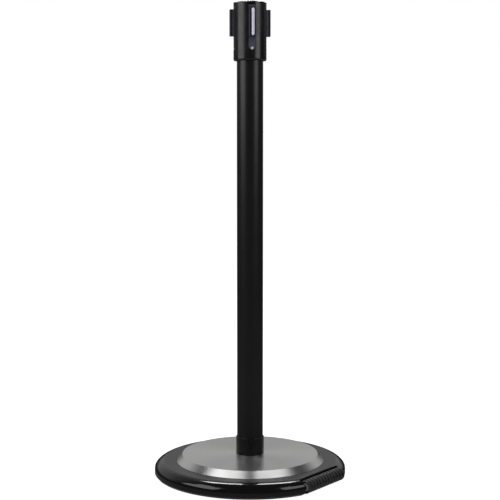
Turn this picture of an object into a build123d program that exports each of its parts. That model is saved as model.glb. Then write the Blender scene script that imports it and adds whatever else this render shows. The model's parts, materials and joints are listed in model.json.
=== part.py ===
from build123d import *

import os
from math import acos, atan2, cos, degrees, hypot, pi, radians, sin, sqrt, tan

# Retractable belt stanchion on a weighted base with a ribbed roller.
# +Z is up, the origin is the point on the floor under the post's axis, and the belt leaves
# the head towards -Y. All sizes are in millimetres.

# ---------------------------------------------------------------- driving dimensions

# whole object
rim_z = 914.4  # top of the head's notched rim
ring_r = 187.5  # outer radius of the base

# post
tube_r = 25.4
tube_wall = 1.5

# base
ring_top_z = 27.5
ring_band = 42.5  # from the outer edge in to the steel cover
ring_wall = 3.0
ring_nose_r = 11.0  # radius of the rolled side, down to its widest line
ring_foot_edge = 3.0  # flat edge under its upright stretch, each way
ring_flat_in = 21.5  # from the outer edge in to where the flat top starts to roll over
ring_lift = 1.0  # gap under the ring, filled by the floor ring
ledge_in = 11.6  # the ledge under the steel cover's edge
ledge_t = 1.5
cover_rise = 11.7  # the steel cover's flat top over its rim
cover_bevel = 11.8
cover_t = 1.2
cover_lip = 1.5
cover_round = 0.9
weight_lift = 2.5
weight_in = 25.0  # from the ring's outer edge in to the weight's rim
weight_pocket_side = 6.0  # from the ring's end walls to the side of the weight's pocket
floor_ring_w = 8.5  # of the floor ring under the weight's rim
floor_lip_w = 6.0  # of the floor ring beside the weight's rim
floor_lip_h = 3.5
floor_ring_inset = 0.5  # in from the ring's foot
end_wall_gap = 2.0  # from the weight's rim and the bracket out to the ring's end walls
hub_r = 45.0
hub_rise = 8.5
collar_t = 1.85
collar_h = 34.0
collar_round = 0.7

# roller
roller_turn = 45.0  # degrees round from the belt's side of the base
roller_r = 12.6
roller_lift = 0.8  # the roller stays this far off the floor while the post is upright
roller_inset = 2.6  # from the base's outer edge in to the roller's outermost line
rib_count = 13
rib_w = 6.6
rib_h = 2.2
tread_t = 3.0  # rubber under the grooves
axle_r = 3.0
ear_r = 4.5
ear_t = 2.0
pocket_gap = 2.3  # between the roller and the edge of the ring's top
bracket_gap = 9.4  # between the roller and the bracket's back plate
bracket_clear = 2.0  # over and under the bracket
roller_end_gap = 0.9
axle_proud = 0.1
bush_t = 1.5
bush_l = 12.0
bush_flange_t = 0.6
bush_flange_w = 1.4

# base bolt, its washers and the plug in the tube that it is screwed into
bolt_r = 8.0
bolt_head_r = 13.0
bolt_head_h = 9.0
bolt_foot_gap = 1.0  # under the head
bolt_well_gap = 8.0  # round the head
bolt_chamfer = 1.2
washer_t = 2.5
washer_rim = 3.0  # past the bolt's head
spring_washer_t = 2.0
spring_washer_split = 1.2
insert_h = 30.0
bolt_end_gap = 6.0  # from the bolt's end to the plug's top

# small fasteners
ring_screw_count = 6
ring_screw_turn = 15.0
ring_screw_in = 6.0  # from the steel cover's rim in to the ring's screws
ring_screw_r = 1.5
ring_screw_l = 12.5
ring_screw_head_r = 3.6
ring_screw_head_h = 2.2
bracket_screw_at = 30.0  # each side of the bracket's middle
bracket_screw_r = 2.5
bracket_screw_l = 18.0
bracket_screw_head_r = 4.8
bracket_screw_head_h = 3.0
small_screw_r = 1.25  # of the channels' and the receivers' screws
small_screw_spare = 2.0  # a blind hole is this much deeper than its screw
channel_screw_in = 6.0  # into the adapter
channel_head_h = 1.0
channel_head_round = 0.6
receiver_screw_l = 5.2
receiver_head_r = 2.4
receiver_head_h = 1.15
receiver_head_sunk = 0.1
cap_screw_r = 1.6
cap_screw_in = 10.0  # past the cap's plug
cap_screw_head_r = 3.6

# head
head_step = 6.35  # the head's radius over the tube's
shell_wall = 3.25
shell_floor = 4.0
shell_round = 2.6
lobe_h = 3.0
lobe_round = 0.3
plug_h = 3.5
channel_w = 13.6
channel_depth = 1.45
channel_foot = 18.4  # from the head's underside up to the channels' rounded foot
insert_flange = 1.6
insert_flange_w = 19.0
insert_root = 0.6  # the liner's rib starts this far inside its flange
screw_head_r = 2.5
screw_up = 0.9  # under the screw's head
sleeve_in_tube = 32.0
tube_in_head = 3.2  # the tube's end over the shell's floor
adapter_wall = 6.0
adapter_step = 4.0  # from the adapter's shoulder up to the channels' foot
adapter_over_foot = 10.0
notch_turn = 27.5  # the rim's notches lie this far each side of each station
notch_w = 8.6
notch_in = 5.3
dome_r = 20.5
dome_h = 5.2
dome_seat = 1.0
cap_screw_h = 2.0

# belt and its spool
belt_h = 47.0
belt_t = 0.5
window_margin = 1.5  # of the mouth's slot past the belt, at each end
block_margin = 3.15  # of the mouth and the belt end past the belt, at each end
spool_core_r = 9.5
roll_in = 1.7  # from the flange's edge in to the full roll
flange_t = 1.5
plate_t = 3.0
top_plate_t = 2.5
shaft_r = 3.0
hub_wall = 1.6
hub_foot_gap = 2.0
hub_end_gap = 0.6
spool_bush_l = 10.0
brake_h = 6.1
shoe_in = 6.0  # from the flange's edge in to the brake shoes
shoe_split = 0.9  # gap between the shoes over their radius
shoe_top_gap = 1.2
drum_foot_gap = 1.0
drum_gap = 0.4
drum_wall = 2.0
spring_h = 12.5
spring_turns = 6
spring_t = 0.4
spring_gap = 0.7  # inside and outside the wound spring
spring_foot_gap = 0.2
cup_in = 1.3  # from the flange's edge in to the spring's cup
cup_wall = 1.2
cup_top_gap = 1.0
cup_bore_gap = 1.0
pillar_count = 3
pillar_turn = -30.0
pillar_r = 1.6
pillar_rim = 0.3
guide_r = 1.2
mouth_d = 3.8
mouth_slot = 5.0
mouth_round = 0.8
belt_end_d = 6.0
belt_end_round = 1.4
belt_end_edge = 0.8
tongue_w = 4.6
tongue_d = 4.4
tongue_round = 0.8
tongue_margin = 1.85  # of the tongue's head past the belt, at each end
tongue_up = 0.5  # the tongue's middle over the belt's middle
stem_w = 2.6
stem_l = 3.4
stem_short = 2.5  # the stem is this much shorter than the tongue's head, at each end
root_d = 1.4
root_flare = 0.7
end_cavity_d = 3.3
end_cavity_margin = 0.7
end_pin_r = 1.0
end_pin_in = 1.65
end_pin_short = 0.6  # the pin is this much shorter than the belt end, at each end

# receivers
receiver_rail_d = 4.5
receiver_clip_d = 4.3
cavity_w = 7.2
cavity_d = 5.0
slot_w = 3.6
receiver_floor = 2.0
receiver_back = 1.5
receiver_screw_up = 12.0  # from the receiver's foot up to its screw
receiver_sink_r = 2.6
receiver_margin = 1.5  # of a receiver past the belt, at each end
receiver_up = 2.25  # a receiver's middle over the belt's middle
clip_round = 1.2

# clearances
fit = 0.05  # radial, where one piece is a close fit in another
run = 0.05  # radial, of a running shaft in its bush
play = 0.2  # side of a loose slot
gap = 0.3  # between pieces that move past each other
seat = 0.02  # radial, between pieces that are pressed together
bolt_gap = 0.5  # radial, round the base bolt
screw_gap = 0.6  # radial, round the ring's and the bracket's screws
small_screw_gap = 0.1  # radial, round the small screws
cassette_gap = 0.4  # radial, between the cassette and the liners
spool_gap = 0.5  # radial, between the spool and the cassette's pillars
guide_gap = 0.15  # between the belt and each guide pin
cap_screw_gap = 0.4  # radial, round the cap's screw, and over its head
cover_gap = 0.8  # radial, between the steel cover and the tube
ring_bore_gap = 0.6  # radial, between the steel cover's rim and the ring

# ---------------------------------------------------------------- sizes that follow

# base, outwards from the axis and up from the floor
nose_c = ring_r - ring_nose_r
foot_c = ring_r - ring_foot_edge
nose_z = ring_lift + ring_nose_r
foot_z = ring_lift + ring_foot_edge
foot_top_z = ring_lift + ring_wall
flat_r = ring_r - ring_flat_in
cover_r = ring_r - ring_band
ring_bore_r = cover_r + ring_bore_gap
cover_bore_r = tube_r + cover_gap
cover_z = ring_top_z + cover_rise
shelf_z = ring_top_z - ring_wall  # top of the weight, underside of the ring's flat
weight_r = ring_r - weight_in
hub_z = shelf_z + hub_rise
bolt_seat_z = weight_lift + bolt_foot_gap + bolt_head_h
washer_z = bolt_seat_z + spring_washer_t
foot_bolt_seat_z = washer_z + washer_t
bolt_end_z = hub_z + insert_h - bolt_end_gap
floor_lip_r = weight_r + gap + floor_lip_w
foot_in_r = floor_lip_r + play
ring_screw_at = cover_r - ring_screw_in

# the ring's shoulder is one arc, tangent to the flat top and to the rolled side
shoulder_run = nose_c - flat_r
shoulder_drop = ring_top_z - nose_z
shoulder_reach = shoulder_run**2 + shoulder_drop**2 - ring_nose_r**2
shoulder_r = shoulder_reach / (2 * (shoulder_drop - ring_nose_r))
shoulder_turn = degrees(atan2(shoulder_run, nose_z - (ring_top_z - shoulder_r)))

# roller, measured out from the post's axis along the roller's own direction
roller_a = ring_r - roller_inset - roller_r
roller_z = roller_lift + roller_r
ear_face = sqrt(ring_r**2 - (roller_a + ear_r) ** 2) - play
roller_half = ear_face - ear_t - roller_end_gap
pocket_a = roller_a - sqrt((roller_r + pocket_gap) ** 2 - (shelf_z - roller_z) ** 2)
bracket_a = roller_a - roller_r - bracket_gap
pocket_half = ear_face + gap
bracket_foot_z = weight_lift + bracket_clear
bracket_top_z = shelf_z - bracket_clear
core_r = roller_r - rib_h - tread_t
bush_r = axle_r + run + bush_t

# head, outwards from the axis
head_r = tube_r + head_step
tube_in_r = tube_r - tube_wall
sleeve_r = tube_in_r - fit - adapter_wall
shell_r = head_r - shell_wall  # the shell's bore
liner_r = shell_r - 2 * fit
liner_in_r = liner_r - insert_flange
rib_face = head_r - channel_depth
cassette_r = liner_in_r - cassette_gap
pillar_at = cassette_r - pillar_r - pillar_rim
flange_r = pillar_at - pillar_r - spool_gap
roll_r = flange_r - roll_in
guide_y = -(cassette_r - guide_r - play)
guide_x = guide_r + belt_t / 2 + guide_gap

# head, down from the rim
shell_top = rim_z - lobe_h
plug_z = shell_top - plug_h
top_plate_z = plug_z - play - top_plate_t
spool_top = top_plate_z - brake_h
belt_z = spool_top - flange_t - play - belt_h / 2
spool_foot = belt_z - belt_h / 2 - play - flange_t
base_plate_z = spool_foot - spring_h - plate_t
adapter_top = base_plate_z - play
head_z = adapter_top - channel_foot - adapter_over_foot
channel_z = head_z + channel_foot
screw_z = channel_z + screw_head_r + screw_up
adapter_step_z = channel_z - adapter_step
liner_z = adapter_step_z + 2 * fit
liner_top = top_plate_z + top_plate_t
tube_top = head_z + shell_floor + tube_in_head
window_h = belt_h + 2 * window_margin
block_h = belt_h + 2 * block_margin
receiver_h = belt_h + 2 * receiver_margin
receiver_z = belt_z + receiver_up - receiver_h / 2

# belt side, outwards along -Y
mouth_y = -(rib_face + mouth_d)
end_back_y = mouth_y - gap
end_front_y = end_back_y - belt_end_d
end_pin_y = end_back_y - end_pin_in
tongue_y = end_front_y - stem_l
tongue_h = belt_h + 2 * tongue_margin
tongue_z = belt_z + tongue_up
stem_h = tongue_h - 2 * stem_short
end_pin_h = block_h - 2 * end_pin_short

# belt length wound on the spool, and the radius that gives its mean turning rate
belt_length = pi * (roll_r**2 - spool_core_r**2) / belt_t
mean_r = (roll_r + spool_core_r) / 2

STATIONS = {"front": 0.0, "right": 90.0, "back": 180.0, "left": 270.0}
RECEIVERS = ("right", "back", "left")
OUTWARDS = (Align.CENTER, Align.CENTER, Align.MIN)
INWARDS = (Align.CENTER, Align.CENTER, Align.MAX)


def station(turn, height=0.0):
    """The plane of one side of the head: its -Y points out of the head, its X runs along the surface."""
    return Plane(origin=(0, 0, height), x_dir=(cos(radians(turn)), sin(radians(turn)), 0))


def side_face(turn, out, height):
    """An upright plane across one side of the head, this far out, that looks outwards."""
    side = station(turn)
    return Plane(origin=side.from_local_coords(Vector(0, -out, height)), x_dir=side.x_dir, z_dir=-side.y_dir)


def save(piece, name):
    piece.part.label = name
    export_step(piece.part, f"parts/{name}.step")


# directions of the roller: out from the post, and along the axle
out_dir = Vector(sin(radians(roller_turn)), -cos(radians(roller_turn)), 0)
axle_dir = Vector(cos(radians(roller_turn)), sin(radians(roller_turn)), 0)
roller_centre = out_dir * roller_a + Vector(0, 0, roller_z)
roller_floor = Plane(origin=(0, 0, 0), x_dir=out_dir, z_dir=(0, 0, 1))  # X out, Y along the axle
roller_side = Plane(origin=roller_centre, x_dir=axle_dir, z_dir=out_dir)  # X along the axle, Y up
roller_end = Plane(origin=(0, 0, 0), x_dir=out_dir, z_dir=-axle_dir)  # X out, Y up
roller_axis = Axis(roller_centre, axle_dir)

os.makedirs("parts", exist_ok=True)

# ---------------------------------------------------------------- base

with BuildPart() as base_weight:
    with BuildSketch(Plane.XZ):
        with BuildLine():
            Polyline(
                (bolt_r + bolt_gap, foot_bolt_seat_z),
                (bolt_head_r + bolt_well_gap, foot_bolt_seat_z),
                (bolt_head_r + bolt_well_gap, weight_lift),
                (weight_r, weight_lift),
                (weight_r, shelf_z),
                (hub_r + hub_rise, shelf_z),
                (hub_r, hub_z),
                (bolt_r + bolt_gap, hub_z),
                close=True,
            )
        make_face()
    revolve(axis=Axis.Z)
    with BuildSketch(roller_floor.offset(weight_lift)):
        with Locations((bracket_a, 0)):
            Rectangle(ring_r, 2 * (pocket_half + weight_pocket_side), align=(Align.MIN, Align.CENTER))
    extrude(amount=shelf_z, mode=Mode.SUBTRACT)
    with Locations(Plane(origin=out_dir * bracket_a, x_dir=axle_dir, z_dir=out_dir)):
        with Locations((-bracket_screw_at, roller_z), (bracket_screw_at, roller_z)):
            Hole(bracket_screw_r, depth=bracket_screw_l)
    with Locations(Plane.XY.offset(shelf_z)):
        with PolarLocations(ring_screw_at, ring_screw_count, start_angle=ring_screw_turn):
            Hole(ring_screw_r, depth=ring_screw_l)
save(base_weight, "base_weight")

with BuildPart() as floor_ring:
    with BuildSketch(Plane.XZ):
        with BuildLine():
            Polyline(
                (weight_r - floor_ring_w, 0),
                (foot_c - floor_ring_inset, 0),
                (foot_c - floor_ring_inset, ring_lift),
                (floor_lip_r, ring_lift),
                (floor_lip_r, weight_lift + floor_lip_h),
                (weight_r + gap, weight_lift + floor_lip_h),
                (weight_r + gap, weight_lift),
                (weight_r - floor_ring_w, weight_lift),
                close=True,
            )
        make_face()
    revolve(axis=Axis.Z)
    with BuildSketch(roller_floor):
        with Locations((ring_r, 0)):
            Rectangle(ring_r, 2 * (pocket_half + ring_wall + play))
    extrude(amount=ring_top_z, mode=Mode.SUBTRACT)
save(floor_ring, "floor_ring")


def ring_line(depth):
    """The ring's line at a depth under its skin, from its bore over the flat top to its foot."""
    flat = Line((ring_bore_r, ring_top_z - depth), (flat_r, ring_top_z - depth))
    shoulder = JernArc(flat @ 1, (1, 0), shoulder_r - depth, -shoulder_turn)
    nose = JernArc(shoulder @ 1, shoulder % 1, ring_nose_r - depth, shoulder_turn - 90)
    corner = depth * tan(pi / 8)
    Polyline(
        nose @ 1,
        (ring_r - depth, foot_z + corner),
        (foot_c - corner, ring_lift + depth),
        (foot_c - ring_wall, ring_lift + depth),
    )


# the end walls reach half way into the skin
with BuildPart() as ring_block:
    with BuildSketch(Plane.XZ):
        with BuildLine():
            ring_line(ring_wall / 2)
            Polyline(
                (foot_c - ring_wall, ring_lift + ring_wall / 2),
                (weight_r + end_wall_gap, ring_lift + ring_wall / 2),
                (weight_r + end_wall_gap, shelf_z),
                (ring_bore_r, shelf_z),
                (ring_bore_r, ring_top_z - ring_wall / 2),
            )
        make_face()
    revolve(axis=Axis.Z)

with BuildPart() as ring_ends:
    for side in (-1, 1):
        with BuildSketch(roller_floor):
            with Locations((bracket_a + end_wall_gap, side * (pocket_half + ring_wall / 2))):
                Rectangle(ring_r, ring_wall, align=(Align.MIN, Align.CENTER))
        extrude(amount=ring_top_z)
    add(ring_block.part, mode=Mode.INTERSECT)

with BuildPart() as base_ring:
    with BuildSketch(Plane.XZ):
        with BuildLine():
            ring_line(0)
            Polyline(
                (foot_c - ring_wall, ring_lift),
                (foot_in_r, ring_lift),
                (foot_in_r, foot_top_z),
                (foot_c - ring_wall, foot_top_z),
            )
            ring_line(ring_wall)
            Polyline(
                (ring_bore_r, shelf_z),
                (ring_bore_r - ledge_in, shelf_z),
                (ring_bore_r - ledge_in, shelf_z + ledge_t),
                (ring_bore_r, shelf_z + ledge_t),
                (ring_bore_r, ring_top_z),
            )
        make_face()
    revolve(axis=Axis.Z)
    with BuildSketch(roller_floor):
        with Locations((pocket_a, 0)):
            Rectangle(ring_r, 2 * pocket_half, align=(Align.MIN, Align.CENTER))
    extrude(amount=ring_top_z, mode=Mode.SUBTRACT)
    add(ring_ends.part)
    with Locations(Plane.XY.offset(shelf_z + ledge_t)):
        with PolarLocations(ring_screw_at, ring_screw_count, start_angle=ring_screw_turn):
            Hole(ring_screw_r + screw_gap, depth=ledge_t)
save(base_ring, "base_ring")

with BuildPart() as ring_screws:
    with BuildSketch(Plane.XY.offset(shelf_z + ledge_t)):
        with PolarLocations(ring_screw_at, ring_screw_count, start_angle=ring_screw_turn):
            Circle(ring_screw_head_r)
    extrude(amount=ring_screw_head_h)
    with BuildSketch(Plane.XY.offset(shelf_z + ledge_t)):
        with PolarLocations(ring_screw_at, ring_screw_count, start_angle=ring_screw_turn):
            Circle(ring_screw_r - fit)
    extrude(amount=-ring_screw_l)
save(ring_screws, "ring_screws")

# the cover's wall is offset square to its flat, its bevel and its lip
bevel_turn = degrees(atan2(cover_rise, cover_bevel))
flat_back = cover_t * tan(radians(bevel_turn / 2))
lip_back = cover_t * tan(radians((90 - bevel_turn) / 2))
with BuildPart() as steel_cover:
    with BuildSketch(Plane.XZ):
        with BuildLine():
            Polyline(
                (cover_bore_r, cover_z),
                (cover_r - cover_bevel, cover_z),
                (cover_r, ring_top_z),
                (cover_r, ring_top_z - cover_lip),
                (cover_r - cover_t, ring_top_z - cover_lip),
                (cover_r - cover_t, ring_top_z - lip_back),
                (cover_r - cover_bevel - flat_back, cover_z - cover_t),
                (cover_bore_r, cover_z - cover_t),
                close=True,
            )
        make_face()
    revolve(axis=Axis.Z)
    flat_edge = steel_cover.edges().filter_by(GeomType.CIRCLE).group_by(Axis.Z)[-1].sort_by(SortBy.RADIUS)[-1]
    fillet(flat_edge, cover_round)
save(steel_cover, "steel_cover")

# ---------------------------------------------------------------- roller

with BuildPart() as roller_bracket:
    with BuildSketch(roller_floor.offset(bracket_foot_z)):
        with Locations((bracket_a + ear_t / 2, 0)):
            Rectangle(ear_t, 2 * ear_face)
    extrude(amount=bracket_top_z - bracket_foot_z)
    for side in (-1, 1):
        with BuildSketch(roller_end.offset(-side * (ear_face - ear_t / 2) - ear_t / 2)):
            with BuildLine():
                JernArc((roller_a, roller_z + ear_r), (1, 0), ear_r, -180)
                Polyline(
                    (roller_a, roller_z - ear_r),
                    (bracket_a + ear_t, bracket_foot_z),
                    (bracket_a, bracket_foot_z),
                    (bracket_a, bracket_top_z),
                    (bracket_a + ear_t, bracket_top_z),
                    (roller_a, roller_z + ear_r),
                )
            make_face()
        extrude(amount=ear_t)
    with Locations(Plane(origin=roller_centre - axle_dir * roller_a, x_dir=out_dir, z_dir=-axle_dir)):
        Hole(axle_r + fit, depth=2 * roller_a)
    with Locations(Plane(origin=out_dir * (bracket_a + ear_t), x_dir=axle_dir, z_dir=out_dir)):
        with Locations((-bracket_screw_at, roller_z), (bracket_screw_at, roller_z)):
            Hole(bracket_screw_r + screw_gap, depth=ear_t)
save(roller_bracket, "roller_bracket")

with BuildPart() as bracket_screws:
    with Locations(Plane(origin=out_dir * (bracket_a + ear_t), x_dir=axle_dir, z_dir=out_dir)):
        with Locations((-bracket_screw_at, roller_z), (bracket_screw_at, roller_z)):
            Cylinder(bracket_screw_head_r, bracket_screw_head_h, align=OUTWARDS)
            Cylinder(bracket_screw_r - fit, bracket_screw_l, align=INWARDS)
save(bracket_screws, "bracket_screws")

with BuildPart() as roller_axle:
    with BuildSketch(roller_side):
        with Locations((0, axle_r / 2)):
            Rectangle(2 * (ear_face + axle_proud), axle_r)
    revolve(axis=roller_axis)
save(roller_axle, "roller_axle")

with BuildPart() as roller_core:
    with BuildSketch(roller_side):
        with Locations((0, (core_r + bush_r) / 2)):
            Rectangle(2 * roller_half, core_r - bush_r)
    revolve(axis=roller_axis)
save(roller_core, "roller_core")

bush_in_x = roller_half - bush_l
bush_out_x = roller_half + bush_flange_t
with BuildPart() as roller_bushes:
    for side in (-1, 1):
        with BuildSketch(roller_side):
            with BuildLine():
                Polyline(
                    (side * bush_in_x, axle_r + run),
                    (side * bush_out_x, axle_r + run),
                    (side * bush_out_x, bush_r + bush_flange_w),
                    (side * roller_half, bush_r + bush_flange_w),
                    (side * roller_half, bush_r - seat),
                    (side * bush_in_x, bush_r - seat),
                    close=True,
                )
            make_face()
        revolve(axis=roller_axis)
save(roller_bushes, "roller_bushes")

rib_pitch = (2 * roller_half - rib_w) / (rib_count - 1)
valley_r = roller_r - rib_h
rib_starts = [-roller_half + i * rib_pitch for i in range(rib_count)]
with BuildPart() as roller_sleeve:
    with BuildSketch(roller_side):
        with BuildLine():
            for start in rib_starts:
                ThreePointArc((start, valley_r), (start + rib_w / 2, roller_r), (start + rib_w, valley_r))
            for start in rib_starts[:-1]:
                Line((start + rib_w, valley_r), (start + rib_pitch, valley_r))
            Polyline(
                (roller_half, valley_r),
                (roller_half, core_r + seat),
                (-roller_half, core_r + seat),
                (-roller_half, valley_r),
            )
        make_face()
    revolve(axis=roller_axis)
save(roller_sleeve, "roller_sleeve")

# ---------------------------------------------------------------- post

with BuildPart() as tube_insert:
    with BuildSketch(Plane.XY.offset(hub_z)):
        Circle(tube_in_r - fit)
        Circle(bolt_r + fit, mode=Mode.SUBTRACT)
    extrude(amount=insert_h)
save(tube_insert, "tube_insert")

with BuildPart() as base_bolt:
    with BuildSketch(Plane.XY.offset(bolt_seat_z)):
        RegularPolygon(bolt_head_r, 6)
    extrude(amount=-bolt_head_h)
    with BuildSketch(Plane.XY.offset(bolt_seat_z)):
        Circle(bolt_r)
    extrude(amount=bolt_end_z - bolt_seat_z)
    chamfer(base_bolt.edges().filter_by(GeomType.CIRCLE).sort_by(Axis.Z)[-1], bolt_chamfer)
save(base_bolt, "base_bolt")

with BuildPart() as base_washer:
    with BuildSketch(Plane.XY.offset(washer_z)):
        Circle(bolt_head_r + washer_rim)
        Circle(bolt_r + bolt_gap, mode=Mode.SUBTRACT)
    extrude(amount=washer_t)
save(base_washer, "base_washer")

with BuildPart() as spring_washer:
    with BuildSketch(Plane.XY.offset(bolt_seat_z)):
        Circle(bolt_head_r - bolt_gap)
        Circle(bolt_r + bolt_gap, mode=Mode.SUBTRACT)
        with Locations((bolt_head_r, 0)):
            Rectangle(2 * bolt_head_r, spring_washer_split, mode=Mode.SUBTRACT)
    extrude(amount=spring_washer_t)
save(spring_washer, "spring_washer")

with BuildPart() as post_tube:
    with BuildSketch(Plane.XY.offset(hub_z)):
        Circle(tube_r)
        Circle(tube_in_r, mode=Mode.SUBTRACT)
    extrude(amount=tube_top - hub_z)
save(post_tube, "post_tube")

with BuildPart() as post_collar:
    with BuildSketch(Plane.XY.offset(cover_z)):
        Circle(tube_r + fit + collar_t)
        Circle(tube_r + fit, mode=Mode.SUBTRACT)
    extrude(amount=collar_h)
    fillet(post_collar.edges().group_by(Axis.Z)[-1].sort_by(SortBy.RADIUS)[-1], collar_round)
save(post_collar, "post_collar")

# ---------------------------------------------------------------- head

with BuildPart() as head_adapter:
    with BuildSketch(Plane.XZ):
        with BuildLine():
            Polyline(
                (sleeve_r, tube_top - sleeve_in_tube),
                (tube_in_r - fit, tube_top - sleeve_in_tube),
                (tube_in_r - fit, tube_top),
                (tube_r + play, tube_top),
                (tube_r + play, head_z + shell_floor),
                (shell_r - play, head_z + shell_floor),
                (shell_r - play, adapter_step_z),
                (liner_in_r - fit, adapter_step_z),
                (liner_in_r - fit, adapter_top),
                (sleeve_r, adapter_top),
                close=True,
            )
        make_face()
    revolve(axis=Axis.Z)
    for turn in STATIONS.values():
        with Locations(side_face(turn, liner_in_r, screw_z)):
            Hole(small_screw_r, depth=channel_screw_in + small_screw_spare)
save(head_adapter, "head_adapter")

with BuildPart() as head_shell:
    with BuildSketch(Plane.XY.offset(head_z)):
        Circle(head_r)
        Circle(tube_r + play, mode=Mode.SUBTRACT)
    extrude(amount=shell_top - head_z)
    with BuildSketch(Plane.XY.offset(head_z + shell_floor)):
        Circle(shell_r)
    extrude(amount=shell_top - head_z, mode=Mode.SUBTRACT)
    fillet(head_shell.edges().group_by(Axis.Z)[0].sort_by(SortBy.RADIUS)[-1], shell_round)
    for turn in STATIONS.values():
        with BuildSketch(side_face(turn, 0, channel_z + channel_w / 2)):
            Circle(channel_w / 2)
            Rectangle(channel_w, rim_z, align=(Align.CENTER, Align.MIN))
        extrude(amount=2 * head_r, mode=Mode.SUBTRACT)
save(head_shell, "head_shell")


def channel_insert(turn, window):
    """Liner of one channel: a curved flange behind the shell and a rib that fills the channel's width."""
    with BuildPart() as insert:
        with BuildSketch(station(turn, liner_z)):
            Circle(liner_r)
            Circle(liner_in_r, mode=Mode.SUBTRACT)
            with Locations((0, -head_r)):
                Rectangle(insert_flange_w, head_r, mode=Mode.INTERSECT)
        extrude(amount=liner_top - liner_z)
        with BuildSketch(side_face(turn, liner_in_r + insert_root, channel_z + channel_w / 2)):
            Circle(channel_w / 2 - fit)
            height = liner_top - channel_z - channel_w / 2
            Rectangle(channel_w - 2 * fit, height, align=(Align.CENTER, Align.MIN))
        extrude(amount=rib_face - liner_in_r - insert_root)
        with Locations(side_face(turn, rib_face, screw_z)):
            Hole(small_screw_r + small_screw_gap, depth=rib_face - liner_in_r + small_screw_spare)
        if window:
            with BuildSketch(side_face(turn, 0, belt_z)):
                Rectangle(mouth_slot, window_h)
            extrude(amount=head_r, mode=Mode.SUBTRACT)
        else:
            with Locations(side_face(turn, rib_face, receiver_z + receiver_screw_up)):
                Hole(small_screw_r, depth=rib_face - liner_in_r + small_screw_spare)
    return insert


for name, turn in STATIONS.items():
    save(channel_insert(turn, name == "front"), f"channel_insert_{name}")

with BuildPart() as channel_screws:
    for turn in STATIONS.values():
        with BuildSketch(side_face(turn, rib_face, screw_z)):
            Circle(screw_head_r)
        extrude(amount=channel_head_h)
        with BuildSketch(side_face(turn, rib_face, screw_z)):
            Circle(small_screw_r - fit)
        extrude(amount=-(rib_face - liner_in_r + channel_screw_in))
    head_edges = channel_screws.edges().filter_by(GeomType.CIRCLE).filter_by(
        lambda edge: hypot(edge.center().X, edge.center().Y) > rib_face + channel_head_h - fit)
    fillet(head_edges, channel_head_round)
save(channel_screws, "channel_screws")

# ---------------------------------------------------------------- receivers

lip_d = receiver_rail_d + receiver_clip_d - receiver_back - cavity_d
rail_y = rib_face + receiver_rail_d
clip_y = rail_y + receiver_clip_d


def receiver_screw_face(turn):
    """The floor of the receiver's slot at its screw, looking outwards."""
    return side_face(turn, rib_face + receiver_back, receiver_z + receiver_screw_up)


def receiver_rail(turn):
    """Back half of a receiver: it stands in the channel and holds the inner part of the tongue's slot."""
    with BuildPart() as rail:
        with BuildSketch(station(turn, receiver_z)):
            with Locations((0, -(rib_face + rail_y) / 2)):
                Rectangle(channel_w - 2 * fit, receiver_rail_d)
        extrude(amount=receiver_h)
        with BuildSketch(station(turn, receiver_z + receiver_floor)):
            with Locations((0, -(rib_face + receiver_back + rail_y) / 2)):
                Rectangle(cavity_w, receiver_rail_d - receiver_back)
        extrude(amount=receiver_h, mode=Mode.SUBTRACT)
        with Locations(receiver_screw_face(turn)):
            CounterSinkHole(small_screw_r + small_screw_gap, receiver_sink_r, depth=receiver_back)
    return rail


def receiver_clip(turn):
    """Front half of a receiver: two lips that hold the tongue's head."""
    with BuildPart() as clip:
        with BuildSketch(station(turn, receiver_z)):
            with Locations((0, -(rail_y + clip_y) / 2)):
                Rectangle(channel_w, receiver_clip_d)
        extrude(amount=receiver_h)
        front_edges = clip.edges().filter_by(Axis.Z).filter_by(
            lambda edge: hypot(edge.center().X, edge.center().Y) > clip_y)
        fillet(front_edges, clip_round)
        with BuildSketch(station(turn, receiver_z + receiver_floor)):
            with Locations((0, -(rail_y + clip_y - lip_d) / 2)):
                Rectangle(cavity_w, receiver_clip_d - lip_d)
            with Locations((0, -clip_y)):
                Rectangle(slot_w, 2 * lip_d)
        extrude(amount=receiver_h, mode=Mode.SUBTRACT)
    return clip


for name in RECEIVERS:
    save(receiver_rail(STATIONS[name]), f"receiver_rail_{name}")
    save(receiver_clip(STATIONS[name]), f"receiver_clip_{name}")

with BuildPart() as receiver_screws:
    for name in RECEIVERS:
        with Locations(receiver_screw_face(STATIONS[name])):
            with Locations((0, 0, -receiver_head_sunk)):
                Cone(small_screw_r - fit, receiver_head_r, receiver_head_h, align=INWARDS)
                Cylinder(small_screw_r - fit, receiver_screw_l, align=INWARDS)
save(receiver_screws, "receiver_screws")

# ---------------------------------------------------------------- belt cassette

with BuildPart() as cassette_base:
    with BuildSketch(Plane.XY.offset(base_plate_z)):
        Circle(cassette_r)
        Circle(shaft_r + fit, mode=Mode.SUBTRACT)
    extrude(amount=plate_t)
save(cassette_base, "cassette_base")

with BuildPart() as cassette_top:
    with BuildSketch(Plane.XY.offset(top_plate_z)):
        Circle(cassette_r)
        Circle(shaft_r + fit, mode=Mode.SUBTRACT)
    extrude(amount=top_plate_t)
save(cassette_top, "cassette_top")

cassette_open = top_plate_z - base_plate_z - plate_t
with BuildPart() as cassette_pillars:
    with BuildSketch(Plane.XY.offset(base_plate_z + plate_t)):
        with PolarLocations(pillar_at, pillar_count, start_angle=pillar_turn):
            Circle(pillar_r)
    extrude(amount=cassette_open)
save(cassette_pillars, "cassette_pillars")

with BuildPart() as guide_pins:
    with BuildSketch(Plane.XY.offset(base_plate_z + plate_t)):
        with Locations((-guide_x, guide_y), (guide_x, guide_y)):
            Circle(guide_r)
    extrude(amount=cassette_open)
save(guide_pins, "guide_pins")

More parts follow.
